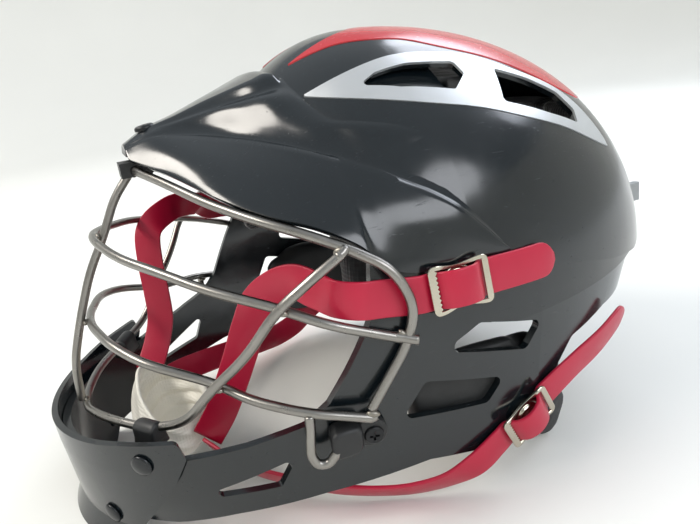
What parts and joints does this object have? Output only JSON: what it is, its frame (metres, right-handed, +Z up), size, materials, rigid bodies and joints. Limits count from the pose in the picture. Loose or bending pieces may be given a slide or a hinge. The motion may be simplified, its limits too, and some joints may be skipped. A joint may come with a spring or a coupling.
{
  "type": "lacrosse helmet",
  "caption": "Lacrosse helmet with a moulded shell, brow visor, chin guard, wire face cage, foam liner and buckled chin straps.",
  "frame": {"origin": "on the table under the crown's widest section, at the middle of the opening that the head goes in by", "axes": "+Z up, -Y the way the face looks, +X the wearer's left"},
  "size_m": [0.237, 0.3236, 0.1967],
  "materials": {
    "black_shell": "high gloss injection moulded plastic",
    "red_panel": "gloss moulded plastic",
    "silver_trim": "satin silver painted plastic",
    "cage_steel": "satin drawn wire",
    "dark_steel": "black oxide",
    "clip_plastic": "moulded, fine texture",
    "liner_foam": "closed cell foam with knitted cover",
    "ear_foam": "skinned foam",
    "cradle_plastic": "moulded",
    "tab_plastic": "moulded",
    "buckle_steel": "nickel plated pressed steel",
    "strap_rubber": "satin thermoplastic strap",
    "cup_shell": "moulded",
    "cup_fabric": "brushed knit over foam"
  },
  "bodies": {
    "helmet": {"shell": "black_shell", "crown_panel": "red_panel", "vent_trim_left": "silver_trim", "vent_trim_right": "silver_trim", "visor": "black_shell", "visor_screw": "dark_steel", "visor_clip": "clip_plastic", "chin_guard": "black_shell", "guard_rivets": "dark_steel", "cage_upper_bar": "cage_steel", "cage_middle_bar": "cage_steel", "cage_chin_wire": "cage_steel", "cage_perimeter_wire": "cage_steel", "cage_centre_wire": "cage_steel", "cage_hook_left": "cage_steel", "cage_hook_right": "cage_steel", "chin_clip_left": "clip_plastic", "chin_clip_right": "clip_plastic", "jaw_clip_left": "clip_plastic", "jaw_clip_right": "clip_plastic", "jaw_screws": "dark_steel", "liner_crown": "liner_foam", "liner_left": "liner_foam", "liner_right": "liner_foam", "liner_front": "liner_foam", "liner_rear": "liner_foam", "ear_pad_left": "ear_foam", "ear_pad_right": "ear_foam", "snap_studs": "buckle_steel", "chin_cup": "cup_shell", "chin_pad": "cup_fabric", "strap_upper_left": "strap_rubber", "strap_upper_right": "strap_rubber", "strap_lower_left": "strap_rubber", "strap_lower_right": "strap_rubber"},
    "nape_adjuster": {"nape_cradle": "cradle_plastic", "nape_pad": "liner_foam"},
    "fit_tab_left": {"fit_tab_left": "tab_plastic"},
    "fit_tab_right": {"fit_tab_right": "tab_plastic"},
    "buckle_upper_left": {"buckle_upper_left": "buckle_steel", "strap_tail_upper_left": "strap_rubber"},
    "buckle_upper_right": {"buckle_upper_right": "buckle_steel", "strap_tail_upper_right": "strap_rubber"},
    "buckle_lower_left": {"buckle_lower_left": "buckle_steel", "strap_tail_lower_left": "strap_rubber"},
    "buckle_lower_right": {"buckle_lower_right": "buckle_steel", "strap_tail_lower_right": "strap_rubber"}
  },
  "joints": [
    {"name": "buckle_upper_left_swivel", "type": "hinge", "parent": "helmet", "child": "buckle_upper_left", "pos_m": [0.10902, -0.01248, 0.10007], "axis": [0.983, -0.0545, 0.1754], "range_deg": [-8, 8]},
    {"name": "buckle_upper_right_swivel", "type": "hinge", "parent": "helmet", "child": "buckle_upper_right", "pos_m": [-0.10902, -0.01248, 0.10007], "axis": [-0.983, -0.0545, 0.1754], "range_deg": [-8, 8]},
    {"name": "buckle_lower_left_swivel", "type": "hinge", "parent": "helmet", "child": "buckle_lower_left", "pos_m": [0.10368, 0.01797, 0.03101], "axis": [0.9862, 0.0999, -0.132], "range_deg": [-8, 8]},
    {"name": "buckle_lower_right_swivel", "type": "hinge", "parent": "helmet", "child": "buckle_lower_right", "pos_m": [-0.10368, 0.01797, 0.03101], "axis": [-0.9862, 0.0999, -0.132], "range_deg": [-8, 8]},
    {"name": "fit_tab_left_pull", "type": "slide", "parent": "helmet", "child": "fit_tab_left", "axis": [0, 1, 0], "range_m": [0, 0.012]},
    {"name": "fit_tab_right_pull", "type": "slide", "parent": "helmet", "child": "fit_tab_right", "axis": [0, 1, 0], "range_m": [0, 0.012]},
    {"name": "nape_slide", "type": "slide", "parent": "helmet", "child": "nape_adjuster", "axis": [0, -1, 0], "range_m": [0, 0.01]}
  ],
  "couplings": [
    {"joint": "fit_tab_right_pull", "follows": "fit_tab_left_pull", "ratio": 1},
    {"joint": "nape_slide", "follows": "fit_tab_left_pull", "ratio": 0.8333}
  ]
}
